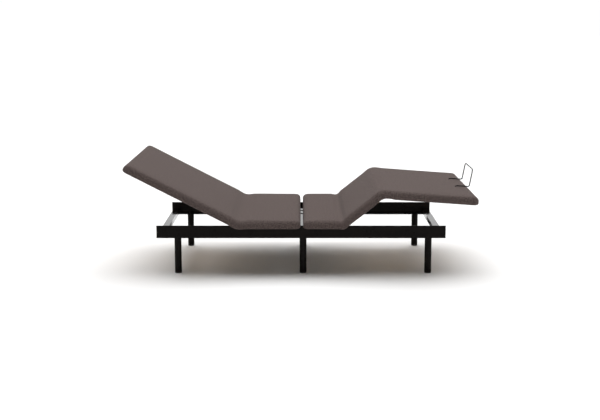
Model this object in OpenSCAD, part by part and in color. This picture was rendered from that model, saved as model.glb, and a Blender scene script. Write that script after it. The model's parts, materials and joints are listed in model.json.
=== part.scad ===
// Adjustable bed base: two upholstered platforms on a steel frame with six legs.
// Millimetres. +X points to the foot end, +Y to the far side, +Z up, z = 0 is the floor.

/* [Deck] */
// Width of the upholstered deck
deck_w = 965; // [880:5:1000]
// Length of the head section, from its hinge to its end
head_len = 682; // [640:1:740]
// Length of the fixed seat section on the head side
seat_a_len = 344; // [330:1:380]
// Length of the fixed seat section on the foot side
seat_b_len = 222; // [215:1:250]
// Gap between the two upholstered platforms
platform_gap = 14; // [8:1:20]
// Length of the thigh section, from hinge to hinge
thigh_len = 263; // [240:1:300]
// Length of the foot section, from its hinge to its end
foot_len = 507; // [470:1:560]
// Thickness of the plywood boards
board_t = 12; // [9:1:15]
// Thickness of the foam and fabric on top of a board
foam_t = 29; // [20:1:35]
// Thickness of the wrap round a board's edge
wrap_t = 8; // [4:1:10]
// How far the wrap hangs below the board
wrap_drop = 4; // [1:1:5]

/* [Pose] */
// Lift of the head section above flat, in degrees
head_angle = 27.25; // [0:0.25:60]
// Lift of the thigh section above flat, in degrees
thigh_angle = 38.1; // [0:0.1:45]

/* [Frame] */
// Length of the side rails
rail_len = 1566; // [1500:2:1640]
// Distance between the outer faces of the side rails
frame_w = 779; // [740:1:800]
// Height of a side rail
rail_h = 69; // [64:1:76]
// Width of a side rail's bottom flange
flange_w = 40; // [38:1:45]
// Sheet thickness of the rails and brackets
steel_t = 3; // [2:0.5:4]
// Width of a crossbar tube
bar_w = 35; // [30:1:40]
// Height of the end crossbars
end_bar_h = 28; // [24:1:32]
// Height of the middle crossbar
mid_bar_h = 46; // [40:1:50]

/* [Legs] */
// Height of the rails' underside above the floor
leg_h = 195; // [150:5:250]
// Diameter of a leg tube
leg_d = 38; // [32:1:42]
// Distance between neighbouring legs along the frame
leg_pitch = 680; // [660:1:690]

/* [Mechanism] */
// Length of the head lift arms, from tube axis to roller axis
head_arm = 420; // [380:5:440]
// Length of the thigh lift arms, from tube axis to roller axis
leg_arm = 300; // [290:1:305]
// Length of the levers on the torque tubes
lever_len = 64; // [60:1:66]
// Diameter of the torque tubes
tube_d = 32; // [30:1:34]
// Radius of the lift rollers
roller_r = 20; // [18:1:22]

/* [Retainer] */
// Diameter of the mattress retainer's wire
wire_d = 6.5; // [5:0.5:8]
// Width of the retainer loop
loop_w = 285; // [260:5:340]
// Height of the retainer loop
loop_h = 98; // [80:1:110]
// Length of the retainer's feet along the deck
wire_foot = 78; // [60:1:90]
// Offset of the retainer from the deck's middle
loop_y = 0; // [0:5:60]

/* [Hidden] */
$fn = 48;

// Colours
STEEL = [0.05, 0.045, 0.04];
ZINC = [0.62, 0.62, 0.6];
PLY = [0.66, 0.53, 0.38];
FABRIC = [0.43, 0.39, 0.37];
PLASTIC = [0.1, 0.1, 0.1];
NYLON = [0.85, 0.84, 0.8];

// Screw holes and studs
small_hole_r = 3.3;
small_bolt_r = 3;
stud_r = 5;

// How the moving pieces turn with the sections they belong to, per degree of lift
foot_drop_ratio = 0.105; // the foot section dips past level as the thigh section rises
head_arm_ratio = 0.862;
leg_arm_ratio = 0.745;
head_max = 60;
thigh_max = 45;
head_arm_rest = 25.616 + head_arm_ratio * (head_angle - 27.25);
leg_arm_rest = 31.364 + leg_arm_ratio * (thigh_angle - 38.1);

// Heights
flange_top = leg_h + steel_t;
rail_top = leg_h + rail_h;
leaf_t = 2.5;
hinge_drop = 6; // the hinge axes lie this far below the boards
hinge_z = rail_top - hinge_drop;
torque_z = hinge_z - 30;
act_z = torque_z - lever_len;
pad_top = hinge_drop + board_t + foam_t; // above the hinge axes
wrap_low = hinge_drop - wrap_drop; // above the hinge axes

// Places along X, first measured from the middle of the rails
gap_x = 4.5;
knee_reach = thigh_len * cos(thigh_angle);
foot_angle = -foot_drop_ratio * thigh_angle;
head_hinge_0 = gap_x - platform_gap / 2 - seat_a_len;
thigh_hinge_0 = gap_x + platform_gap / 2 + seat_b_len;
low_x = head_hinge_0 - head_len * cos(head_angle) + wrap_low * sin(head_angle);
loop_lean = 6.5; // the loop leans outwards from the foot section's normal
wire_end = foot_len - 10;
wire_x = wire_end - wire_foot;
wire_gap = 5; // the wire stands this far clear of the pad's top
foot_bend_r = 12; // bends of the wire: into the pad, up into the loop, and the loop's corners
rise_bend_r = 8;
loop_bend_r = 26;
wire_z = pad_top + wire_gap + wire_d / 2;
loop_top_x = wire_end + loop_h * sin(loop_lean);
loop_top_z = wire_z + loop_h * cos(loop_lean);
high_x = thigh_hinge_0 + knee_reach + loop_top_x * cos(foot_angle) - loop_top_z * sin(foot_angle)
  + wire_d / 2;
// The rails' middle, placed so that the whole object is centred on the origin
rail_x = -(low_x + high_x) / 2;
head_x = rail_x + head_hinge_0;
thigh_x = rail_x + thigh_hinge_0;
knee_x = thigh_x + knee_reach;
knee_z = hinge_z + thigh_len * sin(thigh_angle);
mid_x = rail_x + 11; // the middle legs and crossbar
head_tube_x = head_x + 52;
leg_tube_x = thigh_x - 72;

// Frame
rail_y = frame_w / 2;
inner_y = rail_y - steel_t;
end_bar_x = rail_len / 2 - 11 - bar_w / 2;
bar_wall = 2;
leg_y = rail_y - leg_d / 2 - 0.5;
glide_h = 6;

// Boards and folds
board_y = deck_w / 2 - wrap_t;
fold_cut = 12; // a board ends this far from its fold's axis
knee_cut = 1; // at the knee the top opens, so the pads may nearly meet when flat
corner_r = 30; // plan radius of the platforms' corners

// Mechanism across Y
arm_y = 150;
arm_t = 8;
act_y = 25;
motor_y = 80;
link_y = 90;
link_t = 6;
running = 0.05; // radial clearance of a shaft in its bore
pin_r = 5;
rod_r = 9;

hinge_ys = [-300, 0, 300];
sides = [-1, 1];

// ---------- Shared shapes ----------

// A plate that stands in the XZ plane, from y0 to y0 + t
module standing(y0, t) translate([0, y0 + t, 0]) rotate([90, 0, 0]) linear_extrude(t) children();

// A round bar along Y, centred on y
module bar_y(r, len, x = 0, y = 0, z = 0)
  translate([x, y, z]) rotate([90, 0, 0]) cylinder(r = r, h = len, center = true);

module block(low, high) translate(low) cube(high - low);

module at_head() translate([head_x, 0, hinge_z]) rotate([0, head_angle, 0]) children();
module at_thigh() translate([thigh_x, 0, hinge_z]) rotate([0, -thigh_angle, 0]) children();
module at_knee(a) translate([knee_x, 0, knee_z]) rotate([0, -a, 0]) children();

// A tube swept along points; the reference vector is never parallel to the path
function unit(v) = v / norm(v);
function tangent(p, i) = unit(p[min(i + 1, len(p) - 1)] - p[max(i - 1, 0)]);
function ring(p, i, r, n) =
  let (t = tangent(p, i), u = unit(cross([0.48, 0.6, -0.64], t)), v = cross(t, u))
  [for (k = [0:n - 1]) p[i] + r * (cos(360 * k / n) * u + sin(360 * k / n) * v)];
module sweep(p, r, n = 10) {
  rings = len(p);
  points = [for (i = [0:rings - 1]) each ring(p, i, r, n)];
  skin = [for (i = [0:rings - 2], k = [0:n - 1])
    let (a = i * n + k, b = i * n + (k + 1) % n) [a, a + n, b + n, b]];
  start = [for (k = [0:n - 1]) k];
  finish = [for (k = [n - 1:-1:0]) (rings - 1) * n + k];
  polyhedron(points, concat([start], skin, [finish]), convexity = 6);
}
// The corner at b between a and c, rounded off over a length r, in n steps
function corner(a, b, c, r, n = 6) =
  let (p = b + r * unit(a - b), q = b + r * unit(c - b))
  [for (i = [0:n]) let (t = i / n) (1 - t) * (1 - t) * p + 2 * t * (1 - t) * b + t * t * q];
function rounded(p, r) = [
  p[0],
  for (i = [1:len(p) - 2]) each corner(p[i - 1], p[i], p[i + 1], r),
  p[len(p) - 1]
];

// ---------- Steel frame ----------

module side_rail(side) color(STEEL) difference() {
  mirror([0, side < 0 ? 1 : 0, 0]) union() {
    block([rail_x - rail_len / 2, inner_y, leg_h], [rail_x + rail_len / 2, rail_y, rail_top]);
    block([rail_x - rail_len / 2, rail_y - flange_w, leg_h],
      [rail_x + rail_len / 2, rail_y, flange_top]);
  }
  for (i = [-1:1]) translate([mid_x + i * leg_pitch, side * leg_y, leg_h - 1])
    cylinder(r = stud_r + 0.5, h = steel_t + 2);
  for (end = sides) translate([rail_x + end * end_bar_x, side * leg_y, leg_h - 1])
    cylinder(r = small_hole_r, h = steel_t + 2);
}

module crossbar(x, h, hole_r) color(STEEL) difference() {
  block([x - bar_w / 2, -inner_y, flange_top], [x + bar_w / 2, inner_y, flange_top + h]);
  block([x - bar_w / 2 + bar_wall, -inner_y - 1, flange_top + bar_wall],
    [x + bar_w / 2 - bar_wall, inner_y + 1, flange_top + h - bar_wall]);
  for (side = sides) translate([x, side * leg_y, flange_top - 1])
    cylinder(r = hole_r, h = bar_wall + 2);
}

module leg(place, side) color(STEEL) translate([mid_x + place * leg_pitch, side * leg_y, 0]) {
  difference() {
    translate([0, 0, glide_h]) cylinder(r = leg_d / 2, h = leg_h - glide_h);
    translate([0, 0, glide_h - 1]) cylinder(r = leg_d / 2 - 2, h = leg_h - glide_h - 4);
  }
  translate([0, 0, leg_h - 5]) cylinder(r = stud_r, h = 22);
}

// A plastic plug with a flange that the leg stands on
module leg_glides() color(PLASTIC) for (i = [-1:1], side = sides)
  translate([mid_x + i * leg_pitch, side * leg_y, 0]) {
    cylinder(r = leg_d / 2 - 0.5, h = glide_h);
    cylinder(r = leg_d / 2 - 2.1, h = glide_h + 12);
  }

// Hexagon nuts on the leg studs, inside the middle crossbar at the middle legs
module leg_nuts() color(STEEL) for (i = [-1:1], side = sides)
  translate([mid_x + i * leg_pitch, side * leg_y, flange_top + (i == 0 ? bar_wall : 0)])
    difference() {
      cylinder(r = 9.8, h = 8, $fn = 6);
      translate([0, 0, -1]) cylinder(r = stud_r + running, h = 10);
    }

module crossbar_bolts() color(STEEL) for (end = sides, side = sides)
  translate([rail_x + end * end_bar_x, side * leg_y, 0]) {
    translate([0, 0, leg_h - 2.5]) cylinder(r = 6, h = 2.5);
    translate([0, 0, leg_h - 1]) cylinder(r = small_bolt_r, h = 16);
  }

// ---------- Boards and pads ----------

// A platform corner seen from above: a square with one quarter-round corner taken off
module corner_cut(x, y, sx, sy, r, low, high) translate([x, y, low]) difference() {
  block([min(0, sx * r) - (sx < 0 ? 0 : 1), min(0, sy * r) - (sy < 0 ? 0 : 1), 0],
    [max(0, sx * r) + (sx < 0 ? 1 : 0), max(0, sy * r) + (sy < 0 ? 1 : 0), high - low]);
  translate([sx * r, sy * r, -1]) cylinder(r = r, h = high - low + 2);
}

// A board in its section's own frame, from x0 to x1; out is the free end's side, or 0
module board(x0, x1, out) difference() {
  block([x0, -board_y, hinge_drop], [x1, board_y, hinge_drop + board_t]);
  if (out != 0) for (side = sides)
    corner_cut(out > 0 ? x1 : x0, side * board_y, -out, -side, corner_r - wrap_t,
      hinge_drop - 1, hinge_drop + board_t + 1);
}

// A pad in its section's own frame. It runs from x0 to x1 at board level, a cut of c0 and c1
// degrees leaves room for the folds, and out is the side of the free end, or 0
module pad(x0, x1, c0, c1, out) {
  top = pad_top - hinge_drop;
  difference() {
    standing(-deck_w / 2, deck_w) translate([0, hinge_drop]) polygon([
      [x0, -wrap_drop], [x1, -wrap_drop], [x1, 0],
      [x1 - top * tan(c1), top], [x0 + top * tan(c0), top], [x0, 0]
    ]);
    block([x0 + (out < 0 ? wrap_t : -1), -board_y, 0],
      [x1 - (out > 0 ? wrap_t : -1), board_y, hinge_drop + board_t]);
    if (out != 0) for (side = sides)
      corner_cut(out > 0 ? x1 : x0, side * deck_w / 2, -out, -side, corner_r, 0, pad_top + 1);
  }
}

// Screw holes through the seat boards, at the cleats
module seat_holes(low, high) for (x = cleat_xs, side = sides)
  translate([x, side * cleat_hole_y, low]) cylinder(r = small_hole_r, h = high - low);

module head_side_seat_board() color(PLY) difference() {
  translate([head_x, 0, hinge_z]) board(fold_cut, seat_a_len - wrap_t, 1);
  seat_holes(rail_top - 1, rail_top + board_t + 1);
}
module foot_side_seat_board() color(PLY) difference() {
  translate([thigh_x, 0, hinge_z]) board(-seat_b_len + wrap_t, -fold_cut, -1);
  seat_holes(rail_top - 1, rail_top + board_t + 1);
}
module head_side_seat_pad() color(FABRIC) difference() {
  translate([head_x, 0, hinge_z]) pad(fold_cut, seat_a_len, head_max / 2, 0, 1);
  rail_room();
}
module foot_side_seat_pad() color(FABRIC) difference() {
  translate([thigh_x, 0, hinge_z]) pad(-seat_b_len, -fold_cut, 0, thigh_max / 2, -1);
  rail_room();
}
// The wrap stays clear of the rails and the parts between them
module rail_room() block([-rail_len, -rail_y - 2, 0], [rail_len, rail_y + 2, rail_top]);

module head_board() color(PLY) at_head() board(-head_len + wrap_t, -fold_cut, -1);
module head_pad() color(FABRIC) at_head() pad(-head_len, -fold_cut, 0, head_max / 2, -1);
module thigh_board() color(PLY) at_thigh() board(fold_cut, thigh_len - fold_cut, 0);
module thigh_pad() color(FABRIC) at_thigh()
  pad(fold_cut, thigh_len - knee_cut, thigh_max / 2, 0, 0);
module wire_holes(r) for (side = sides)
  translate([wire_x, loop_y + side * loop_w / 2, -1]) cylinder(r = r, h = pad_top + 2);
module foot_board() color(PLY) at_knee(foot_angle) difference() {
  board(fold_cut, foot_len - wrap_t, 1);
  wire_holes(wire_d / 2 + 0.3);
}
module foot_pad() color(FABRIC) at_knee(foot_angle) difference() {
  pad(knee_cut, foot_len, 0, 0, 1);
  wire_holes(wire_d / 2 + 2);
}

// ---------- Seat cleats ----------

cleat_xs = [head_tube_x + 55, mid_x - 70, mid_x + 50, leg_tube_x + 42];
cleat_w = 36;
cleat_hole_y = inner_y - 24;

module seat_cleats() color(STEEL) for (x = cleat_xs, side = sides)
  mirror([0, side < 0 ? 1 : 0, 0]) difference() {
    union() {
      block([x - cleat_w / 2, inner_y - steel_t, rail_top - 36], [x + cleat_w / 2, inner_y, rail_top]);
      block([x - cleat_w / 2, inner_y - 40, rail_top - steel_t], [x + cleat_w / 2, inner_y, rail_top]);
    }
    translate([x, cleat_hole_y, rail_top - steel_t - 1]) cylinder(r = small_hole_r, h = steel_t + 2);
  }

module seat_bolts() color(ZINC) for (x = cleat_xs, side = sides)
  translate([x, side * cleat_hole_y, 0]) {
    translate([0, 0, rail_top - steel_t - 4]) cylinder(r = 5.8, h = 4, $fn = 6);
    translate([0, 0, rail_top - steel_t - 1]) cylinder(r = small_bolt_r, h = steel_t + 1 + board_t);
  }

// ---------- Fold hinges ----------

hinge_half = 35; // half the width of a hinge along its pin
knuckle_r = 5.5;
hinge_pin_r = 3;
knuckle_cut = 11.5; // half the width of the middle knuckle
leaf_len = 60;

// One leaf about the origin, pointing to +X or -X. An outer leaf has the two outer knuckles
module leaf(dir, outer) difference() {
  union() {
    block([dir > 0 ? 0 : -leaf_len, -hinge_half, hinge_drop - leaf_t],
      [dir > 0 ? leaf_len : 0, hinge_half, hinge_drop]);
    if (outer) for (side = sides)
      bar_y(knuckle_r, hinge_half - knuckle_cut, 0, side * (hinge_half + knuckle_cut) / 2);
    else bar_y(knuckle_r, 2 * knuckle_cut - 1);
  }
  if (outer) bar_y(knuckle_r + 1.5, 2 * knuckle_cut + 1);
  else for (side = sides) bar_y(knuckle_r + 1.5, hinge_half - knuckle_cut + 2, 0,
    side * (hinge_half + knuckle_cut + 1) / 2);
  bar_y(hinge_pin_r + running, 2 * hinge_half + 2);
}
module leaves(dir, outer) color(ZINC) for (y = hinge_ys) translate([0, y, 0]) leaf(dir, outer);
module hinge_pins() color(ZINC) for (y = hinge_ys) bar_y(hinge_pin_r, 2 * hinge_half + 3, 0, y);

module seat_hinge_leaves() {
  translate([head_x, 0, hinge_z]) leaves(1, true);
  translate([thigh_x, 0, hinge_z]) leaves(-1, true);
}
module seat_hinge_pins() {
  translate([head_x, 0, hinge_z]) hinge_pins();
  translate([thigh_x, 0, hinge_z]) hinge_pins();
}
module head_hinge_leaves() at_head() leaves(-1, false);
module thigh_hinge_leaves() at_thigh() leaves(1, false);
module knee_hinge_leaves() at_knee(thigh_angle) leaves(-1, true);
module knee_hinge_pins() at_knee(thigh_angle) hinge_pins();
module foot_hinge_leaves() at_knee(foot_angle) leaves(1, false);

// ---------- Torque tubes and lift arms ----------

socket_h = 14;
module bearing_brackets() color(STEEL) for (x = [head_tube_x, leg_tube_x], side = sides)
  mirror([0, side < 0 ? 1 : 0, 0]) {
    block([x - 22, inner_y - 4, torque_z - 26], [x + 22, inner_y, torque_z + 30]);
    difference() {
      bar_y(tube_d / 2 + 7, socket_h, x, inner_y - socket_h / 2, torque_z);
      bar_y(tube_d / 2 + running, socket_h, x, inner_y - socket_h / 2 - 4, torque_z);
    }
  }

module torque_tube(x) color(STEEL) difference() {
  bar_y(tube_d / 2, 2 * (inner_y - 5), x, 0, torque_z);
  bar_y(tube_d / 2 - 3, 2 * inner_y, x, 0, torque_z);
}
module head_torque_tube() torque_tube(head_tube_x);
module leg_torque_tube() torque_tube(leg_tube_x);

roller_w = 24;
// Arm outline about the tube's axis: it dips below the seat board and then rises to the roller
module arm_outline(len, bend_at, bend) {
  knee = bend_at * [cos(bend), -sin(bend)];
  hull() {
    circle(r = tube_d / 2 + 5);
    translate(knee) circle(r = 13);
  }
  hull() {
    translate(knee) circle(r = 13);
    translate([len, 0]) circle(r = 11);
  }
}
// The arms of one tube, in the tube's frame, with the roller end along +X
module lift_arms(len, bend_at, bend) color(STEEL) for (side = sides) {
  difference() {
    standing(side * arm_y - arm_t / 2, arm_t) arm_outline(len, bend_at, bend);
    bar_y(tube_d / 2 + running, arm_t + 2, 0, side * arm_y);
  }
  bar_y(pin_r, roller_w + 8, len, side * (arm_y - (roller_w + 8) / 2));
}
module rollers(len) color(NYLON) for (side = sides)
  let (y = side * (arm_y - arm_t / 2 - 1 - roller_w / 2)) difference() {
    bar_y(roller_r, roller_w, len, y);
    bar_y(pin_r + running, roller_w + 2, len, y);
  }
// Arms that point along -X and lift with a positive turn, and along +X with a negative one
module at_head_tube(a) translate([head_tube_x, 0, torque_z]) rotate([0, a, 0])
  mirror([1, 0, 0]) children();
module at_leg_tube(a) translate([leg_tube_x, 0, torque_z]) rotate([0, -a, 0]) children();

module head_lift_arms() at_head_tube(head_arm_rest) lift_arms(head_arm, 72, 35);
module leg_lift_arms() at_leg_tube(leg_arm_rest) lift_arms(leg_arm, 92, 22);
module head_rollers() at_head_tube(head_arm_rest) rollers(head_arm);
module leg_rollers() at_leg_tube(leg_arm_rest) rollers(leg_arm);

// ---------- Levers and actuators ----------

head_swing = head_arm_ratio * (head_angle - head_max / 2);
leg_swing = leg_arm_ratio * (thigh_angle - thigh_max / 2);
lever_t = 8;

// A lever that hangs from its tube, with a cross pin at its end
module lever(y) color(STEEL) {
  difference() {
    standing(y - lever_t / 2, lever_t) hull() {
      circle(r = tube_d / 2 + 6);
      translate([0, -lever_len]) circle(r = 9);
    }
    bar_y(tube_d / 2 + running, lever_t + 2, 0, y);
  }
  bar_y(pin_r, 30, 0, y, -lever_len);
}
module head_lever() at_head_tube(head_swing) lever(-act_y);
module leg_lever() at_leg_tube(leg_swing) lever(act_y);

// Sizes of one actuator along its own line, from the lever's pin at mid travel
rod_len = 166;
fork_base = 32; // where the rod meets its fork
fork_slot = 24; // how far the lever's slot reaches towards the rod
head_travel = lever_len * sin(head_swing);
leg_travel = lever_len * sin(leg_swing);
gearbox_len = 65;
gearbox_h = 48;
outer_r = 17;
motor_r = 23;
head_act_len = 315;
leg_act_len = 225;
front_gap = 64; // from the pin to the outer tube at mid travel

// Actuators are drawn pointing to -X with the pin at the origin, then placed
module at_head_act(travel = 0) translate([head_tube_x - travel, -act_y, act_z]) children();
module at_leg_act(travel = 0) translate([leg_tube_x + travel, act_y, act_z])
  mirror([1, 0, 0]) mirror([0, 1, 0]) children();

module rod() color(ZINC) {
  difference() {
    block([-14, -13, -16], [fork_base, 13, 22]);
    block([-15, -lever_t / 2 - 0.6, -17], [fork_slot, lever_t / 2 + 0.6, 23]);
    block([-pin_r - 0.6, -14, -pin_r - 1.5], [pin_r + 0.6, 14, 14]);
  }
  translate([fork_base, 0, 0]) rotate([0, 90, 0]) cylinder(r = rod_r, h = rod_len);
}
module outer_tube(len) color(ZINC) translate([front_gap, 0, 0]) rotate([0, 90, 0]) difference() {
  cylinder(r = outer_r, h = len - front_gap);
  translate([0, 0, -1]) cylinder(r = rod_r + running, h = len);
  translate([0, 0, 25]) cylinder(r = outer_r - 3, h = len);
}
module gearbox(len) color(PLASTIC) {
  difference() {
    block([len, -83, -gearbox_h / 2], [len + gearbox_len, 21, gearbox_h / 2]);
    for (z = sides) translate([len + gearbox_len / 2, -31, z * (gearbox_h / 2 + 1)])
      cube([gearbox_len + 2, 30, 6], center = true);
  }
  difference() {
    block([len + gearbox_len - 1, -9, -12], [len + gearbox_len + 26, 9, 12]);
    bar_y(pin_r + running, 20, len + gearbox_len + 13);
  }
}
module motor(len) color(PLASTIC) translate([len, -motor_y + act_y, 0]) rotate([0, -90, 0]) {
  cylinder(r = motor_r, h = 118);
  cylinder(r = motor_r - 4, h = 124);
  for (h = [8, 104]) translate([0, 0, h]) cylinder(r = motor_r + 0.8, h = 6);
}
module head_rod() at_head_act(head_travel) rod();
module leg_rod() at_leg_act(leg_travel) rod();
module head_outer_tube() at_head_act() outer_tube(head_act_len);
module leg_outer_tube() at_leg_act() outer_tube(leg_act_len);
module head_gearbox() at_head_act() gearbox(head_act_len);
module leg_gearbox() at_leg_act() gearbox(leg_act_len);
module head_motor() at_head_act() motor(head_act_len);
module leg_motor() at_leg_act() motor(leg_act_len);

// A beam from the middle crossbar with two cheeks that hold the actuator's tail
module hanger(tail, bar_face) color(STEEL) difference() {
  union() {
    block([min(tail + 14, bar_face), -15, 36], [max(tail + 14, bar_face), 15, 61]);
    for (side = sides) standing(side * 12.25 - 2.75, 5.5)
      polygon([[tail - 11, -12], [tail + 11, -12], [tail + 14, 37], [tail - 11, 37]]);
  }
  bar_y(pin_r, 40, tail);
}
tail_of = gearbox_len + 13;
module actuator_hangers() {
  at_head_act() hanger(head_act_len + tail_of, mid_x + bar_w / 2 - head_tube_x);
  at_leg_act() hanger(leg_act_len + tail_of, leg_tube_x - mid_x + bar_w / 2);
}
tail_pin_len = 36;
module actuator_tail_pins() color(ZINC) {
  at_head_act() bar_y(pin_r, tail_pin_len, head_act_len + tail_of);
  at_leg_act() bar_y(pin_r, tail_pin_len, leg_act_len + tail_of);
}

// ---------- Control box, inlet and motor leads ----------

box_low = [mid_x - 190, 130, rail_top - 46];
box_high = [mid_x - 60, 290, rail_top];
inlet_w = 24;
inlet_h = 16;
inlet_z = (box_low[2] + box_high[2]) / 2;
inlet_y = box_high[1] - 40;
inlet_depth = 16;

// Vent slots run across the underside
module control_box() color(PLASTIC) difference() {
  block(box_low, box_high);
  for (i = [0:5]) translate([box_low[0] + 30 + i * 14, box_low[1] + 30, box_low[2] - 1])
    cube([4, 70, 3]);
}
// A mains inlet that stands on the box's end, with two contact pins in it
module mains_inlet() color(PLASTIC) translate([box_low[0] - inlet_depth, inlet_y, inlet_z]) {
  difference() {
    block([0, -inlet_w / 2, -inlet_h / 2], [inlet_depth, inlet_w / 2, inlet_h / 2]);
    block([-1, -inlet_w / 2 + 2.5, -inlet_h / 2 + 2.5],
      [inlet_depth - 2, inlet_w / 2 - 2.5, inlet_h / 2 - 2.5]);
  }
  for (side = sides) translate([inlet_depth - 11, side * 4.3, 0]) rotate([0, 90, 0])
    cylinder(r = 1.2, h = 10);
}

lead_r = 3;
head_lead = [
  [mid_x - 150, box_low[1], rail_top - 20], [mid_x - 150, 80, rail_top - 20],
  [mid_x - 150, 50, rail_top - 12], [mid_x - 150, -60, rail_top - 12],
  [mid_x - 150, -motor_y, act_z + 60], [mid_x - 150, -motor_y, act_z],
  [head_tube_x + head_act_len - 124, -motor_y, act_z]
];
leg_lead = [
  [box_high[0], 180, rail_top - 25], [mid_x - 45, 180, rail_top - 25],
  [mid_x - 30, 170, rail_top - 11], [mid_x + 35, 120, rail_top - 11],
  [mid_x + 86, motor_y, rail_top - 40], [mid_x + 86, motor_y, act_z],
  [leg_tube_x - leg_act_len + 124, motor_y, act_z]
];
module motor_leads() color(PLASTIC) {
  sweep(rounded(head_lead, 11), lead_r, 8);
  sweep(rounded(leg_lead, 9), lead_r, 8);
}

// ---------- Foot links ----------

link_drop = 40; // the links' pivots lie this far below the fold axes
link_eye = 11;

module foot_link_mounts() color(STEEL) for (side = sides) {
  standing(side * (link_y + 7.5) - 3, 6) polygon([
    [thigh_x - 40, rail_top], [thigh_x - 14, rail_top], [thigh_x + 12, hinge_z - link_drop + 8],
    [thigh_x + 12, hinge_z - link_drop - 11], [thigh_x - 12, hinge_z - link_drop - 11],
    [thigh_x - 40, rail_top - 24]
  ]);
  bar_y(4, 14, thigh_x, side * (link_y + 3), hinge_z - link_drop);
}
// Two parallel bars that keep the foot section's angle as the thigh section rises
module foot_links() color(STEEL) translate([thigh_x, 0, hinge_z - link_drop])
  rotate([0, -thigh_angle, 0]) for (side = sides) {
    difference() {
      standing(side * link_y - link_t / 2, link_t) hull() {
        circle(r = link_eye);
        translate([thigh_len, 0]) circle(r = link_eye);
      }
      bar_y(4 + running, link_t + 2, 0, side * link_y);
    }
    bar_y(4, 14, thigh_len, side * (link_y + 3));
  }
// Brackets under the foot board with a short slot for the links' pins
module foot_link_hangers() color(STEEL) at_knee(foot_angle) for (side = sides) difference() {
  standing(side * (link_y + 7.5) - 3, 6) polygon([
    [14, hinge_drop], [56, hinge_drop], [56, -2], [16, -link_drop - 11],
    [-12, -link_drop - 11], [-12, -link_drop + 10]
  ]);
  block([-4.7, side * (link_y + 7.5) - 4, -link_drop - 4.6],
    [8.2, side * (link_y + 7.5) + 4, -link_drop + 4.6]);
}

// ---------- Mattress retainer ----------

// From under the board up through the pad, along the pad, up, across and back
function retainer_side(side) = let (y = loop_y + side * loop_w / 2) [
  [wire_x, y, -7], [wire_x, y, wire_z], [wire_end, y, wire_z],
  [loop_top_x, y, loop_top_z]
];
retainer_path = let (a = retainer_side(-1), b = retainer_side(1)) [
  a[0],
  each corner(a[0], a[1], a[2], foot_bend_r),
  each corner(a[1], a[2], a[3], rise_bend_r),
  each corner(a[2], a[3], b[3], loop_bend_r, 8),
  each corner(a[3], b[3], b[2], loop_bend_r, 8),
  each corner(b[3], b[2], b[1], rise_bend_r),
  each corner(b[2], b[1], b[0], foot_bend_r),
  b[0]
];
module retainer_bar() color(STEEL) at_knee(foot_angle) sweep(retainer_path, wire_d / 2, 12);
module retainer_nuts() color(ZINC) at_knee(foot_angle) for (side = sides)
  translate([wire_x, loop_y + side * loop_w / 2, 0]) difference() {
    translate([0, 0, hinge_drop - 5]) cylinder(r = 6.5, h = 5, $fn = 6);
    cylinder(r = wire_d / 2 + running, h = hinge_drop + 1);
  }

// ---------- The nodes ----------

side_rail(-1);  // right_side_rail
side_rail(1);  // left_side_rail
crossbar(rail_x - end_bar_x, end_bar_h, small_hole_r);  // head_crossbar
crossbar(mid_x, mid_bar_h, stud_r + 0.5);  // middle_crossbar
crossbar(rail_x + end_bar_x, end_bar_h, small_hole_r);  // foot_crossbar
leg(-1, -1);  // leg_head_right
leg(-1, 1);  // leg_head_left
leg(0, -1);  // leg_middle_right
leg(0, 1);  // leg_middle_left
leg(1, -1);  // leg_foot_right
leg(1, 1);  // leg_foot_left
leg_glides();
leg_nuts();
crossbar_bolts();
seat_cleats();
seat_bolts();
head_side_seat_board();
foot_side_seat_board();
head_side_seat_pad();
foot_side_seat_pad();
seat_hinge_leaves();
seat_hinge_pins();
bearing_brackets();
actuator_hangers();
actuator_tail_pins();
head_gearbox();
head_motor();
head_outer_tube();
leg_gearbox();
leg_motor();
leg_outer_tube();
control_box();
mains_inlet();
motor_leads();
foot_link_mounts();
head_board();
head_pad();
head_hinge_leaves();
thigh_board();
thigh_pad();
thigh_hinge_leaves();
knee_hinge_leaves();
knee_hinge_pins();
foot_board();
foot_pad();
foot_hinge_leaves();
foot_link_hangers();
retainer_bar();
retainer_nuts();
head_torque_tube();
head_lift_arms();
head_lever();
head_rollers();
leg_torque_tube();
leg_lift_arms();
leg_lever();
leg_rollers();
head_rod();
leg_rod();
foot_links();
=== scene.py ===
"""Looks of an adjustable bed base: upholstered platforms on a black steel frame.

Metres and degrees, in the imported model's frame: the head end is at -X, the foot end at +X and
the near side at -Y.
"""

import json
import math

import bmesh
import bpy
import numpy as np
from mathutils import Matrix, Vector


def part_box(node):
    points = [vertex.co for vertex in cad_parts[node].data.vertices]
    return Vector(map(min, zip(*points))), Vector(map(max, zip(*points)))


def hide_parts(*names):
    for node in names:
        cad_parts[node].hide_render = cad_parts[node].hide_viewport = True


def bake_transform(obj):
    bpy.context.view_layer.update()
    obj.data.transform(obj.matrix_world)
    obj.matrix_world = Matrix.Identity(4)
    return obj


# The joints' lower limits are this many degrees above level
LEVEL_GAP = 0.1
FOOT_DIP_RATIO = 0.105  # degrees that the foot section dips per degree of thigh lift

# Camera: a level line of sight tilted down at the middle of the bed
CAMERA_AT = (-0.0103, -6.422, 1.3963)
CAMERA_TILT = 9.84
CAMERA_LENS = 68.12
SENSOR = 36.0

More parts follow.
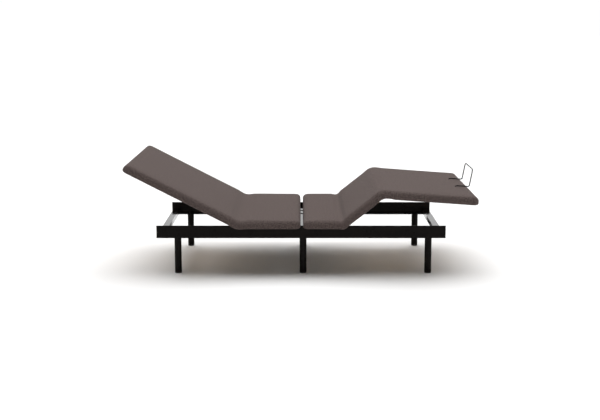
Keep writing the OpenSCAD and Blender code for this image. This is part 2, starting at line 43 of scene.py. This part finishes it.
# Upholstery
WRAP_T = 0.008  # fabric and wadding round a board's edge
EDGE_R = 0.025  # rounding of the top edges
LOW_EDGE_R = 0.011  # and of the bottom edges
CORNER_R = 0.033  # rounding of the corners, seen from above
CORNER_STEPS = 5
ARC_STEPS = 5
LOW_ARC_STEPS = 3
COARSE = 0.024  # spacing of the mesh lines away from the folds
FINE = 0.008  # and across a fold
FINE_MARGIN = 0.02  # and this far to each side of it
HEAD_FOLD = 0.055  # half the length of each bend, along the platform
THIGH_FOLD = 0.032
KNEE_FOLD = 0.064
CROWN = 0.001  # rise of the top from its edges to its middle, before the cloth pass
CROWN_RUN = 0.045  # the length over which most of that rise happens
SLACK = 0.0005  # the cover starts this much lower, as it swells in the cloth pass
SWELL_CAP = 0.0022  # and no point of it moves further than this
SWELL_FRAMES = 20
CLOTH = {
    "quality": 6, "mass": 0.4, "tension_stiffness": 40, "compression_stiffness": 40,
    "shear_stiffness": 20, "bending_stiffness": 4,
    "use_pressure": True, "uniform_pressure_force": 0.2,
}
CAVITY_RINGS = 4  # of the profile's rings, these shape the cavity for the board and stay sharp
BOARD_ROOM = 0.0003  # between a board's edge and the cover
BOARD_GAP = 0.0002  # and above and below the board
BEND_STEPS = 60  # rounds that settle how far each point turns in a bend
OVER_RAIL = 0.0008  # the wrap's lower edge stands this far over a rail, outside the board
UNDER_BOARD = 0.0005  # and this far under the board, inside its edge
RAIL_ROOM = 0.012  # the wrap's lower edge comes down over this length beside a rail

# Light of the room: sines of the heights where the pale skirting gives way to the walls, and
# cosines of the angles from the ceiling's axis where its light starts and is full
SKIRTING = (0.2, 0.32)
SKIRTING_LIGHT = 1.02
WALL_LIGHT = 0.05
CEILING_AXIS = Vector((0, 0.35, 0.94))
CEILING = (0.64, 0.86)
CEILING_LIGHT = 3.5
FLOOR_REACH = 60.0

# Width of the softened edges, for each material slot
EDGE_WIDTHS = {"painted_steel": 0.0008, "plywood": 0.0006, "black_plastic": 0.001}

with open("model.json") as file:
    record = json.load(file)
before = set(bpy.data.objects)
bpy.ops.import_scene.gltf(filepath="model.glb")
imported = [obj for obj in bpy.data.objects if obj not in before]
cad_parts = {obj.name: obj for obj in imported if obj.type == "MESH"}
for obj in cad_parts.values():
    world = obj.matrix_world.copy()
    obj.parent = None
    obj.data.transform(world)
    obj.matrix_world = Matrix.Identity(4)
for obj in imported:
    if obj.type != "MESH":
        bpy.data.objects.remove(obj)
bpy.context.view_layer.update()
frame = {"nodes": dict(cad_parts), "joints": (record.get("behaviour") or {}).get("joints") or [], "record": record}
joints = {joint["name"]: joint for joint in frame["joints"]}


# ---------- Places, read from the frame ----------


def pivot(name):
    """A joint's axis as (x, z)."""
    x, _, z = joints[name]["pos_m"]
    return np.array([x, z])


def turned(points, axis, degrees):
    """Points (n, 3) turned about an axis along +Y; degrees is one angle or one for each point."""
    a = np.radians(degrees)
    x, z = points[:, 0] - axis[0], points[:, 2] - axis[1]
    return np.column_stack([
        axis[0] + x * np.cos(a) + z * np.sin(a),
        points[:, 1],
        axis[1] - x * np.sin(a) + z * np.cos(a),
    ])


def section_box(node, axis, degrees):
    """A CAD node's low and high corners when its section lies flat, measured from its hinge."""
    points = np.array([v.co for v in frame["nodes"][node].data.vertices])
    flat = turned(points, axis, -degrees) - np.array([axis[0], 0, axis[1]])
    return flat.min(0), flat.max(0)


HEAD_AXIS = pivot("head_lift")
THIGH_AXIS = pivot("leg_lift")
KNEE_AXIS = pivot("foot_fold")
HEAD_TURN = -joints["head_lift"]["range_deg"][0] + LEVEL_GAP
THIGH_TURN = joints["leg_lift"]["range_deg"][0] - LEVEL_GAP
FOOT_TURN = -FOOT_DIP_RATIO * THIGH_TURN
THIGH_LEN = float(np.linalg.norm(KNEE_AXIS - THIGH_AXIS))

head_low, head_high = section_box("head_pad", HEAD_AXIS, HEAD_TURN)
foot_low, foot_high = section_box("foot_pad", KNEE_AXIS, FOOT_TURN)
HALF_W = float(foot_high[1])
WRAP_LOW = float(foot_low[2])
PAD_TOP = float(foot_high[2])
HEAD_END = float(head_low[0])
FOOT_END = THIGH_LEN + float(foot_high[0])
SEAT_A_END = float(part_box("head_side_seat_pad")[1].x) - HEAD_AXIS[0]
SEAT_B_END = float(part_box("foot_side_seat_pad")[0].x) - THIGH_AXIS[0]
BOARD_LOW = float(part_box("head_side_seat_board")[0].z) - HEAD_AXIS[1]
BOARD_HIGH = float(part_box("head_side_seat_board")[1].z) - HEAD_AXIS[1]
RAIL_Y = float(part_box("left_side_rail")[1].y)


# ---------- Small node-graph helpers ----------


class Graph:
    """A material's nodes, with a Principled shader already linked to the output."""

    def __init__(self, name, **shader):
        self.material = bpy.data.materials.new(name)
        self.material.use_nodes = True
        self.nodes = self.material.node_tree.nodes
        self.links = self.material.node_tree.links
        self.shader = self.nodes["Principled BSDF"]
        for socket, value in shader.items():
            self.shader.inputs[socket.replace("_", " ")].default_value = value

    def add(self, kind, inputs=None, **settings):
        """A node with its settings made and its inputs set, or linked where one is a socket."""
        node = self.nodes.new(kind)
        for key, value in settings.items():
            setattr(node, key, value)
        for key, value in (inputs or {}).items():
            if isinstance(value, bpy.types.NodeSocket):
                self.links.new(value, node.inputs[key])
            else:
                node.inputs[key].default_value = value
        return node

    def to_shader(self, socket, output):
        self.links.new(output, self.shader.inputs[socket])

    def where(self, scale=(1, 1, 1), source=None):
        """A place on the surface in metres, stretched by scale."""
        if source is None:
            source = self.add("ShaderNodeTexCoord").outputs["Object"]
        return self.add("ShaderNodeMapping", {"Vector": source, "Scale": scale}).outputs[0]

    def noise(self, place, scale, detail=3.0, roughness=0.55):
        node = self.add("ShaderNodeTexNoise", {
            "Vector": place, "Scale": scale, "Detail": detail, "Roughness": roughness})
        return node.outputs["Fac"]

    def span(self, value, low, high, start=0.0, end=1.0):
        """Value brought from the range start to end into the range low to high."""
        node = self.add("ShaderNodeMapRange", {
            "Value": value, "From Min": start, "From Max": end, "To Min": low, "To Max": high})
        return node.outputs["Result"]

    def mixed(self, factor, a, b):
        node = self.add("ShaderNodeMix", {"Factor": factor}, data_type="RGBA")
        for socket, value in ((node.inputs[6], a), (node.inputs[7], b)):
            if isinstance(value, bpy.types.NodeSocket):
                self.links.new(value, socket)
            else:
                socket.default_value = (*value, 1.0)
        return node.outputs[2]

    def math(self, operation, a, b):
        return self.add("ShaderNodeMath", {0: a, 1: b}, operation=operation).outputs[0]

    def bump(self, height, strength, distance, under=None):
        inputs = {"Height": height, "Strength": strength, "Distance": distance}
        if under is not None:
            inputs["Normal"] = under
        return self.add("ShaderNodeBump", inputs).outputs["Normal"]


# ---------- Materials ----------


def fabric_material():
    """Brown-grey woven polyester: crossed yarns, slubs and a fine mottle."""
    g = Graph("brown_grey_weave", Roughness=0.95, Sheen_Weight=0.04, Sheen_Roughness=0.5)
    g.shader.inputs["Sheen Tint"].default_value = (0.85, 0.8, 0.78, 1.0)
    g.shader.inputs["Specular IOR Level"].default_value = 0.1
    cloth = g.add("ShaderNodeAttribute", attribute_name="cloth").outputs["Vector"]
    warp = g.noise(g.where((1, 0.12, 1), cloth), 900, 1.0)
    weft = g.noise(g.where((0.12, 1, 1), cloth), 900, 1.0)
    yarns = g.math("MULTIPLY", g.math("ADD", warp, weft), 0.5)
    mottle = g.noise(cloth, 140, 4.0, 0.7)
    cloudy = g.noise(cloth, 9, 2.0)
    shade = g.mixed(g.span(mottle, 0, 1, 0.42, 0.58), (0.048, 0.0358, 0.0327), (0.12, 0.0915, 0.0847))
    shade = g.mixed(g.span(cloudy, 0, 0.3, 0.3, 0.7), shade, (0.086, 0.065, 0.06))
    shade = g.mixed(g.span(yarns, 0.25, 0, 0.4, 0.6), shade, (0.05, 0.038, 0.035))
    g.to_shader("Base Color", shade)
    rough = g.bump(yarns, 0.55, 0.0006)
    g.to_shader("Normal", g.bump(mottle, 0.12, 0.002, rough))
    return g.material


def paint_material(name, gloss, smooth, worn, peel_strength):
    """Black powder coat with a slight orange peel, and patches that have gone duller."""
    g = Graph(name)
    g.shader.inputs["Specular IOR Level"].default_value = gloss
    place = g.where()
    peel = g.noise(place, 420, 2.0)
    wear = g.noise(place, 14, 4.0, 0.6)
    g.to_shader("Base Color", g.mixed(g.span(wear, 0, 1, 0.45, 0.75),
                                      (0.0042, 0.0030, 0.0025), (0.0075, 0.0056, 0.0048)))
    g.to_shader("Roughness", g.span(wear, smooth, worn, 0.3, 0.7))
    g.to_shader("Normal", g.bump(peel, peel_strength, 0.0004))
    return g.material


def zinc_material():
    """Zinc plate: a metal with a faint crystalline patchiness and drawn streaks."""
    g = Graph("zinc_plate", Metallic=1.0)
    patches = g.add("ShaderNodeTexVoronoi", {"Vector": g.where(), "Scale": 260}).outputs["Distance"]
    streaks = g.noise(g.where((1, 12, 12)), 90, 3.0)
    g.to_shader("Base Color", g.mixed(g.span(patches, 0, 1, 0.1, 0.8),
                                      (0.5, 0.5, 0.49), (0.66, 0.66, 0.64)))
    g.to_shader("Roughness", g.span(streaks, 0.28, 0.5, 0.3, 0.7))
    g.to_shader("Normal", g.bump(streaks, 0.1, 0.0003))
    return g.material


def plywood_material():
    """Raw plywood: long growth bands along the board, with pores and darker patches."""
    g = Graph("birch_plywood", Roughness=0.62)
    place = g.where((0.7, 9, 9))
    bend = g.noise(place, 3.0, 3.0)
    rings = g.add("ShaderNodeTexWave", {"Vector": place, "Scale": 2.6, "Distortion": 5.0,
                                        "Detail": 3.0}, bands_direction="Y").outputs["Fac"]
    pores = g.noise(g.where((12, 260, 260)), 5, 2.0)
    wood = g.mixed(g.span(rings, 0, 1), (0.43, 0.3, 0.18), (0.57, 0.43, 0.28))
    wood = g.mixed(g.span(bend, 0, 0.5, 0.35, 0.7), wood, (0.38, 0.26, 0.15))
    wood = g.mixed(g.span(pores, 0.5, 0, 0.3, 0.45), wood, (0.22, 0.14, 0.08))
    g.to_shader("Base Color", wood)
    g.to_shader("Normal", g.bump(pores, 0.2, 0.0004))
    return g.material


def moulded_material(name, dark, light, roughness, grain):
    """A moulded plastic or rubber with a fine texture and a little variation in tone."""
    g = Graph(name)
    place = g.where()
    tone = g.noise(place, 22, 3.0)
    texture = g.noise(place, grain, 2.0)
    g.to_shader("Base Color", g.mixed(g.span(tone, 0, 1, 0.3, 0.7), dark, light))
    g.to_shader("Roughness", g.span(texture, roughness - 0.06, roughness + 0.08, 0.3, 0.7))
    g.to_shader("Normal", g.bump(texture, 0.25, 0.0003))
    return g.material


FABRIC = fabric_material()
CROSSBAR_PAINT = paint_material("glossy_black_paint", 0.75, 0.07, 0.12, 0.03)
FINISHES = {
    "painted_steel": paint_material("black_powder_coat", 0.06, 0.24, 0.36, 0.18),
    "zinc_steel": zinc_material(),
    "plywood": plywood_material(),
    "upholstery": FABRIC,
    "black_plastic": moulded_material(
        "black_moulded_plastic", (0.012, 0.012, 0.012), (0.022, 0.021, 0.021), 0.48, 700),
    "nylon": moulded_material(
        "natural_nylon", (0.68, 0.66, 0.6), (0.8, 0.78, 0.72), 0.42, 500),
    "rubber_lead": moulded_material(
        "cable_jacket", (0.01, 0.01, 0.01), (0.018, 0.018, 0.018), 0.55, 900),
}


def finish_cad_nodes():
    """Each CAD node that stays gets its slot's material, softened edges and smooth rounds."""
    for part in frame["record"]["subparts"]:
        node = frame["nodes"][part["node"]]
        node.data.materials.clear()
        crossbar = part["node"].endswith("_crossbar")
        node.data.materials.append(CROSSBAR_PAINT if crossbar else FINISHES[part["material_slot"]])
        for polygon in node.data.polygons:
            polygon.use_smooth = True
        edges = node.modifiers.new("soft_edges", "BEVEL")
        edges.width = EDGE_WIDTHS.get(part["material_slot"], 0.0005)
        edges.segments = 2
        edges.limit_method = "ANGLE"
        edges.angle_limit = math.radians(40)
        edges.harden_normals = True



# ---------- Upholstery ----------


def mesh_lines(low, high, folds):
    """Positions of the mesh lines from low to high: close together at the corners and folds."""
    inner_low, inner_high = low + CORNER_R, high - CORNER_R
    steps = np.arange(CORNER_STEPS) / CORNER_STEPS
    middle = [inner_low]
    while middle[-1] < inner_high - FINE:
        near = min((abs(middle[-1] - at) - reach for at, reach in folds), default=1.0)
        middle.append(middle[-1] + (FINE if near < FINE_MARGIN else COARSE))
    middle[-1] = inner_high
    return np.array([*(low + CORNER_R * steps), *middle, *(high - CORNER_R * steps[::-1])])


def inset_lines(lines, inset):
    """Mesh lines moved inwards by inset at both ends, inside the corner squares."""
    low, high = lines[0], lines[-1]
    radius = CORNER_R - inset
    start, end = low + CORNER_R, high - CORNER_R
    return np.where(
        lines < start, start - (start - lines) * radius / CORNER_R,
        np.where(lines > end, end + (lines - end) * radius / CORNER_R, lines))


def rounded_plan(s, y, s_lines, y_lines, inset):
    """Plan points with the four corner squares drawn in to quarter rounds."""
    radius = CORNER_R - inset
    s_low, s_high = s_lines[0] + CORNER_R, s_lines[-1] - CORNER_R
    y_low, y_high = y_lines[0] + CORNER_R, y_lines[-1] - CORNER_R
    ds = np.clip(s, None, s_low) - s_low + np.clip(s, s_high, None) - s_high
    dy = np.clip(y, None, y_low) - y_low + np.clip(y, y_high, None) - y_high
    a, b = ds / radius, dy / radius
    return (s - ds + ds * np.sqrt(1 - b * b / 2), y - dy + dy * np.sqrt(1 - a * a / 2))


def edge_profile():
    """(inset, height) from the board's top edge, down round the wrap and up to the pad's top."""
    inner = WRAP_T + BOARD_ROOM
    under = LOW_EDGE_R + BOARD_ROOM
    side = [
        (inner, BOARD_HIGH + BOARD_GAP), (inner, BOARD_LOW - BOARD_GAP),
        (under, BOARD_LOW - BOARD_GAP),
        (under, WRAP_LOW + 2 * BOARD_ROOM),
    ]
    for k in range(LOW_ARC_STEPS + 1):
        a = math.pi / 2 * k / LOW_ARC_STEPS
        side.append((LOW_EDGE_R * (1 - math.sin(a)), WRAP_LOW + LOW_EDGE_R * (1 - math.cos(a))))
    for k in range(ARC_STEPS + 1):
        a = math.pi / 2 * k / ARC_STEPS
        side.append((EDGE_R * (1 - math.cos(a)), PAD_TOP - SLACK - EDGE_R * (1 - math.sin(a))))
    return side


def crown_height(s, y, s_lines, y_lines):
    """Height of the top's crown: it rises quickly behind the edges and is nearly flat inside."""
    from_end = np.minimum(s - s_lines[0], s_lines[-1] - s) - EDGE_R
    from_side = np.minimum(y - y_lines[0], y_lines[-1] - y) - EDGE_R
    edge = np.minimum(from_end, from_side).clip(0)
    return CROWN * (1 - np.exp(-edge / CROWN_RUN))


def perimeter(rows, columns):
    """Grid indices round the edge of a grid, in order."""
    return (
        [(i, 0) for i in range(rows)]
        + [(rows - 1, j) for j in range(1, columns)]
        + [(i, columns - 1) for i in range(rows - 2, -1, -1)]
        + [(0, j) for j in range(columns - 2, 0, -1)])


def flat_platform(name, low, high, folds, gap_end):
    """A platform lying flat: a closed skin over the foam, wrapped round the boards' edges.

    Its x is measured along the platform from its first hinge and its z from the hinge's height.
    gap_end is the end over the middle crossbar, where the wrap clears the rails.
    """
    s_lines = mesh_lines(low, high, folds)
    y_lines = mesh_lines(-HALF_W, HALF_W, [])
    rows, columns = len(s_lines), len(y_lines)
    points, cloth, least_z = [], [], []

    def plan(i, j, inset):
        s, y = inset_lines(s_lines, inset)[i], inset_lines(y_lines, inset)[j]
        return rounded_plan(s, y, s_lines, y_lines, inset)

    def grid(inset, height, crowned):
        """Adds a whole grid of points and returns the index of each."""
        i, j = np.meshgrid(np.arange(rows), np.arange(columns), indexing="ij")
        s, y = plan(i.ravel(), j.ravel(), inset)
        z = np.full(len(s), height)
        if crowned:
            z = z + crown_height(s, y, s_lines, y_lines)
        first = len(points)
        points.extend(np.column_stack([s, y, z]).tolist())
        least_z.extend([WRAP_LOW] * len(s))
        cloth.extend(np.column_stack([s, y]).tolist())
        return first + np.arange(rows * columns).reshape(rows, columns)

    rim = perimeter(rows, columns)
    rim_i, rim_j = np.array(rim).T
    profile = edge_profile()
    ceiling = grid(*profile[0], crowned=False)
    top = grid(*profile[-1], crowned=True)
    rim_s, rim_y = plan(rim_i, rim_j, EDGE_R)
    out_s, out_y = plan(rim_i, rim_j, 0.0)
    out_s, out_y = (out_s - rim_s) / EDGE_R, (out_y - rim_y) / EDGE_R
    rings = [ceiling[rim_i, rim_j]]
    run = sum(math.dist(a, b) for a, b in zip(profile, profile[1:]))
    for before, (inset, height) in zip(profile, profile[1:-1]):
        run -= math.dist(before, (inset, height))
        s, y = plan(rim_i, rim_j, inset)
        over_rail = (np.abs(s - gap_end) < CORNER_R) * np.clip(
            (RAIL_Y + 3 * RAIL_ROOM - np.abs(y)) / RAIL_ROOM, 0, 1)
        raised = BOARD_LOW + (OVER_RAIL if inset < WRAP_T else -UNDER_BOARD)
        least_z += (WRAP_LOW + (raised - WRAP_LOW) * over_rail).tolist()
        rings.append(len(points) + np.arange(len(rim)))
        points.extend(np.column_stack([s, y, np.full(len(s), height)]).tolist())
        cloth.extend(np.column_stack([rim_s + out_s * run, rim_y + out_y * run]).tolist())
    rings.append(top[rim_i, rim_j])

    faces = []
    for a, b in zip(rings, rings[1:]):
        a_next, b_next = np.roll(a, -1), np.roll(b, -1)
        faces += np.column_stack([a, a_next, b_next, b]).tolist()
    for sheet, order in ((top, (0, 1, 2, 3)), (ceiling, (3, 2, 1, 0))):
        corners = (sheet[:-1, :-1], sheet[1:, :-1], sheet[1:, 1:], sheet[:-1, 1:])
        faces += np.stack([corners[k].ravel() for k in order], axis=1).tolist()
    mesh = bpy.data.meshes.new(name)
    mesh.from_pydata(points, [], faces)
    mesh.validate()
    cavity = {int(i) for ring in rings[:CAVITY_RINGS] for i in ring}
    crease = mesh.attributes.new("crease_edge", "FLOAT", "EDGE")
    crease.data.foreach_set("value", [
        float(cavity.issuperset(edge.vertices)) for edge in mesh.edges])
    layer = mesh.attributes.new("cloth", "FLOAT_VECTOR", "POINT")
    flat = np.column_stack([np.array(cloth), np.zeros(len(cloth))])
    layer.data.foreach_set("vector", flat.astype(np.float32).ravel())
    return plumped(mesh, np.array(least_z))


def hold_the_lip(piece, rest):
    """Pins the lower lip and the cavity for the board, so the cloth pass leaves them."""
    x, y, z = rest.T
    lip = z < WRAP_LOW + LOW_EDGE_R
    cavity = (
        (z < BOARD_HIGH + BOARD_ROOM) & (np.abs(y) < HALF_W - WRAP_T)
        & (x.min() + WRAP_T < x) & (x < x.max() - WRAP_T))
    group = piece.vertex_groups.new(name="held")
    group.add(np.flatnonzero(lip | cavity).tolist(), 1.0, "REPLACE")
    return group.name


def swollen(piece, rest):
    """The points of a piece after inside pressure has swollen it, within the cap."""
    cloth = piece.modifiers.new("cloth", "CLOTH")
    cloth.settings.vertex_group_mass = hold_the_lip(piece, rest)
    cloth.settings.effector_weights.gravity = 0
    for name, value in CLOTH.items():
        setattr(cloth.settings, name, value)
    cloth.point_cache.frame_start, cloth.point_cache.frame_end = 1, SWELL_FRAMES
    for step in range(1, SWELL_FRAMES + 1):
        bpy.context.scene.frame_set(step)
    mesh = piece.evaluated_get(bpy.context.evaluated_depsgraph_get()).to_mesh()
    moved = coordinates(mesh) - rest
    far = np.linalg.norm(moved, axis=1, keepdims=True)
    moved *= SWELL_CAP * np.tanh(far / SWELL_CAP) / far.clip(1e-9)
    piece.modifiers.remove(cloth)
    bpy.context.scene.frame_set(1)
    return rest + moved


def plumped(mesh, least_z):
    """The mesh after a cloth pass and one subdivision.

    least_z lifts the lip over the rails afterwards, as it would leave edges of no length, and
    with those the cloth solver moves nothing.
    """
    points = coordinates(mesh)
    piece = bpy.data.objects.new("plumping", mesh)
    bpy.context.scene.collection.objects.link(piece)
    points = swollen(piece, points)
    points[:, 2] = np.maximum(points[:, 2], least_z)
    set_coordinates(mesh, points)
    smooth = piece.modifiers.new("smooth", "SUBSURF")
    smooth.levels = smooth.render_levels = 1
    fine = bpy.data.meshes.new_from_object(
        piece.evaluated_get(bpy.context.evaluated_depsgraph_get()))
    name = mesh.name
    bpy.data.objects.remove(piece)
    bpy.data.meshes.remove(mesh)
    fine.name = name
    return fine


def coordinates(mesh):
    co = np.empty(len(mesh.vertices) * 3)
    mesh.vertices.foreach_get("co", co)
    return co.reshape(-1, 3)


def set_coordinates(mesh, points):
    mesh.vertices.foreach_set("co", points.ravel())
    mesh.update()


def fold_span(axis, forward_a, forward_b, reach):
    """The ends of a bend, each side of its hinge, square to the line that halves the fold."""
    a = math.radians((forward_a + forward_b) / 2)
    along = reach * np.array([math.cos(a), -math.sin(a)])
    return axis - along, axis + along


def bend(points, axis, start, end, degrees):
    """Points turned about an axis, not at all before start and by the full angle after end."""
    share = np.full(len(points), 0.5)
    along = end - start
    for _ in range(BEND_STEPS):
        bent = turned(points, axis, share * degrees)
        t = ((bent[:, [0, 2]] - start) @ along / (along @ along)).clip(0, 1)
        share = 0.5 * share + 0.5 * t * t * (3 - 2 * t)
    return turned(points, axis, share * degrees)


def shown(mesh, *replaced):
    """A mesh as an upholstered piece that stands for CAD nodes."""
    mesh.materials.append(FABRIC)
    for polygon in mesh.polygons:
        polygon.use_smooth = True
    piece = bpy.data.objects.new(mesh.name, mesh)
    bpy.context.scene.collection.objects.link(piece)
    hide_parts(*replaced)
    return piece


def head_platform():
    """The head section and its part of the seat, under one cover."""
    mesh = flat_platform("head_side_upholstery", HEAD_END, SEAT_A_END, [(0, HEAD_FOLD)], SEAT_A_END)
    placed = coordinates(mesh) + np.array([HEAD_AXIS[0], 0, HEAD_AXIS[1]])
    end, start = fold_span(HEAD_AXIS, 0, HEAD_TURN, HEAD_FOLD)
    set_coordinates(mesh, bend(placed, HEAD_AXIS, start, end, HEAD_TURN))
    piece = shown(mesh, "head_pad", "head_side_seat_pad")
    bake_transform(piece)


def halved(mesh, name, at, keep_low):
    """One side of a flat mesh, cut where x is at, with its open end closed."""
    half = mesh.copy()
    half.name = name
    work = bmesh.new()
    work.from_mesh(half)
    gone = [f for f in work.faces if (f.calc_center_median().x > at) == keep_low]
    bmesh.ops.delete(work, geom=gone, context="FACES")
    rim = [e for e in work.edges if e.is_boundary]
    for edge in rim:
        edge.smooth = False
    bmesh.ops.contextual_create(work, geom=rim)
    bmesh.ops.recalc_face_normals(work, faces=work.faces)
    work.to_mesh(half)
    work.free()
    return half


def foot_platform():
    """The other part of the seat, the thigh section and the foot section, under one cover.

    The cover is made whole, and divided at the middle of the thigh, where it never bends.
    """
    folds = [(0, THIGH_FOLD), (THIGH_LEN, KNEE_FOLD)]
    whole = flat_platform("foot_side_upholstery", SEAT_B_END, FOOT_END, folds, SEAT_B_END)
    s_lines = mesh_lines(SEAT_B_END, FOOT_END, folds)
    middle = s_lines[np.abs(s_lines - THIGH_LEN / 2).argmin()]
    thigh_start, thigh_end = fold_span(THIGH_AXIS, 0, THIGH_TURN, THIGH_FOLD)
    knee_start, knee_end = fold_span(KNEE_AXIS, THIGH_TURN, FOOT_TURN, KNEE_FOLD)
    for name, keep_low, replaced in (
        ("seat_and_thigh_upholstery", True, ("foot_side_seat_pad", "thigh_pad")),
        ("foot_upholstery", False, ("foot_pad",)),
    ):
        mesh = halved(whole, name, middle, keep_low)
        placed = coordinates(mesh) + np.array([THIGH_AXIS[0], 0, THIGH_AXIS[1]])
        if keep_low:
            placed = bend(placed, THIGH_AXIS, thigh_start, thigh_end, THIGH_TURN)
        else:
            placed = turned(placed, THIGH_AXIS, THIGH_TURN)
            placed = bend(placed, KNEE_AXIS, knee_start, knee_end, FOOT_TURN - THIGH_TURN)
        set_coordinates(mesh, placed)
        piece = shown(mesh, *replaced)
        if keep_low:
            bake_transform(piece)
        else:
            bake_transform(piece)


# ---------- Studio ----------


def studio_floor():
    """A wide pale floor with a barely uneven matt finish."""
    g = Graph("pale_floor", Roughness=0.9)
    g.shader.inputs["Specular IOR Level"].default_value = 0.0
    tone = g.noise(g.where(), 0.6, 2.0)
    g.to_shader("Base Color", g.mixed(tone, (0.79, 0.79, 0.79), (0.81, 0.81, 0.81)))
    mesh = bpy.data.meshes.new("floor")
    mesh.from_pydata([(x * FLOOR_REACH, y * FLOOR_REACH, 0)
                      for x, y in ((-1, -1), (1, -1), (1, 1), (-1, 1))], [], [(0, 1, 2, 3)])
    mesh.materials.append(g.material)
    floor = bpy.data.objects.new("floor", mesh)
    bpy.context.scene.collection.objects.link(floor)


def studio():
    """A white room: a bright ceiling a little behind the bed, and dim walls over a pale skirting."""
    world = bpy.data.worlds.new("white_room")
    world.use_nodes = True
    nodes, links = world.node_tree.nodes, world.node_tree.links
    direction = nodes.new("ShaderNodeTexCoord").outputs["Generated"]

    def glow(axis, edge, full, low, high):
        """Light that goes from low to high as the direction turns towards axis."""
        facing = nodes.new("ShaderNodeVectorMath")
        facing.operation = "DOT_PRODUCT"
        links.new(direction, facing.inputs[0])
        facing.inputs[1].default_value = axis.normalized()
        ramp = nodes.new("ShaderNodeMapRange")
        ramp.interpolation_type = "SMOOTHSTEP"
        links.new(facing.outputs["Value"], ramp.inputs["Value"])
        for name, value in (("From Min", edge), ("From Max", full), ("To Min", low), ("To Max", high)):
            ramp.inputs[name].default_value = value
        return ramp.outputs["Result"]

    nodes["Background"].inputs["Color"].default_value = (1, 1, 1, 1)
    total = nodes.new("ShaderNodeMath")
    total.operation = "ADD"
    up = Vector((0, 0, 1))
    links.new(glow(up, *SKIRTING, SKIRTING_LIGHT, WALL_LIGHT), total.inputs[0])
    links.new(glow(CEILING_AXIS, *CEILING, 0.0, CEILING_LIGHT), total.inputs[1])
    links.new(total.outputs[0], nodes["Background"].inputs["Strength"])
    bpy.context.scene.world = world
    bpy.context.scene.view_settings.view_transform = "Standard"
    studio_floor()


def camera():
    data = bpy.data.cameras.new("camera")
    data.sensor_width = SENSOR
    data.lens = CAMERA_LENS
    view = bpy.data.objects.new("camera", data)
    view.location = CAMERA_AT
    view.rotation_euler = (math.radians(90 - CAMERA_TILT), 0, 0)
    bpy.context.scene.collection.objects.link(view)
    bpy.context.scene.camera = view


camera()
finish_cad_nodes()
head_platform()
foot_platform()
studio()
